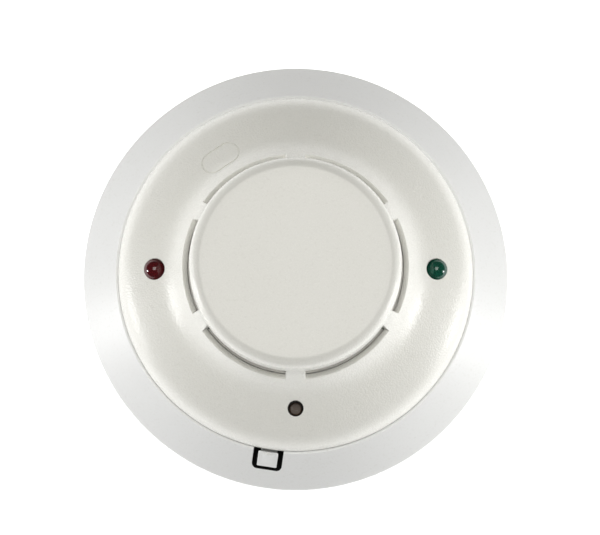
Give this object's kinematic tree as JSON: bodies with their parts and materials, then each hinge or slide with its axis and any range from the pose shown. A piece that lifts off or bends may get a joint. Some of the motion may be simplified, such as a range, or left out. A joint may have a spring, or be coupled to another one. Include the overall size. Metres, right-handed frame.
{
  "type": "heat detector",
  "caption": "Round ceiling or wall heat detector: a vented, capped sensing head with two indicator lenses that twists onto a flanged mounting base.",
  "frame": {"origin": "centre of the base's flat back face, where it meets the ceiling or wall", "axes": "+Z out of the mounting surface towards the room; red lens at -X, green lens at +X, test hole at -Y"},
  "size_m": [0.155, 0.155, 0.051],
  "materials": {
    "cover_plastic": "warm white, fine spark-eroded texture",
    "base_plastic": "cool white, smooth satin",
    "chassis_plastic": "off-white satin",
    "grille_plastic": "light grey satin",
    "strip_brass": "rolled sheet brass",
    "zinc_steel": "zinc plated",
    "spring_steel": "drawn spring wire",
    "board_laminate": "green solder mask",
    "moulded_epoxy": "black moulded",
    "capacitor_can": "bright can",
    "blue_lacquer": "dipped lacquer",
    "resistor_ceramic": "glazed",
    "red_epoxy": "tinted epoxy",
    "green_epoxy": "tinted epoxy",
    "thermistor_glass": "dark glazed bead",
    "tinned_wire": "tinned",
    "switch_black": "black moulded",
    "plunger_brown": "brown moulded",
    "red_lens_acrylic": "tinted polished",
    "green_lens_acrylic": "tinted polished",
    "label_film": "blank printed film"
  },
  "bodies": {
    "base": {"mounting_base": "base_plastic", "contact_strip_1": "strip_brass", "contact_strip_2": "strip_brass", "contact_strip_3": "strip_brass", "contact_strip_4": "strip_brass", "clamp_plate_1": "zinc_steel", "clamp_plate_2": "zinc_steel", "clamp_plate_3": "zinc_steel", "clamp_plate_4": "zinc_steel", "terminal_screws": "zinc_steel", "jumper_spring": "spring_steel"},
    "head": {"head_chassis": "chassis_plastic", "blade_screws": "zinc_steel", "circuit_board": "board_laminate", "board_screws": "zinc_steel", "controller_ic": "moulded_epoxy", "bridge_rectifier": "moulded_epoxy", "alarm_thyristor": "moulded_epoxy", "filter_capacitor": "capacitor_can", "surge_suppressor": "blue_lacquer", "chip_resistors": "resistor_ceramic", "red_led": "red_epoxy", "green_led": "green_epoxy", "reference_thermistor": "thermistor_glass", "thermistor_bead": "thermistor_glass", "thermistor_leads": "tinned_wire", "thermistor_post": "chassis_plastic", "air_grille": "grille_plastic", "grille_screws": "zinc_steel", "test_switch_body": "switch_black", "outer_cover": "cover_plastic", "red_lens": "red_lens_acrylic", "green_lens": "green_lens_acrylic", "rating_label": "label_film", "contact_blade_1": "strip_brass", "contact_blade_2": "strip_brass", "contact_blade_3": "strip_brass", "contact_blade_4": "strip_brass"},
    "tamper_lever": {"tamper_lever": "base_plastic"},
    "test_plunger": {"test_plunger": "plunger_brown"}
  },
  "joints": [
    {"name": "head_twist", "type": "hinge", "parent": "base", "child": "head", "pos_m": [0, 0, 0.009], "axis": [0, 0, 1], "range_deg": [0, 18]},
    {"name": "tamper_press", "type": "hinge", "parent": "base", "child": "tamper_lever", "pos_m": [-0.00688, -0.04548, 0.0034], "axis": [0.9888, -0.1495, 0], "range_deg": [0, 3], "stiffness_Nm_per_rad": 2.3, "springref_deg": -0.57},
    {"name": "test_press", "type": "slide", "parent": "head", "child": "test_plunger", "axis": [0, 0, -1], "range_m": [0, 0.001], "stiffness_N_per_m": 1200, "springref_m": -0.0003}
  ]
}
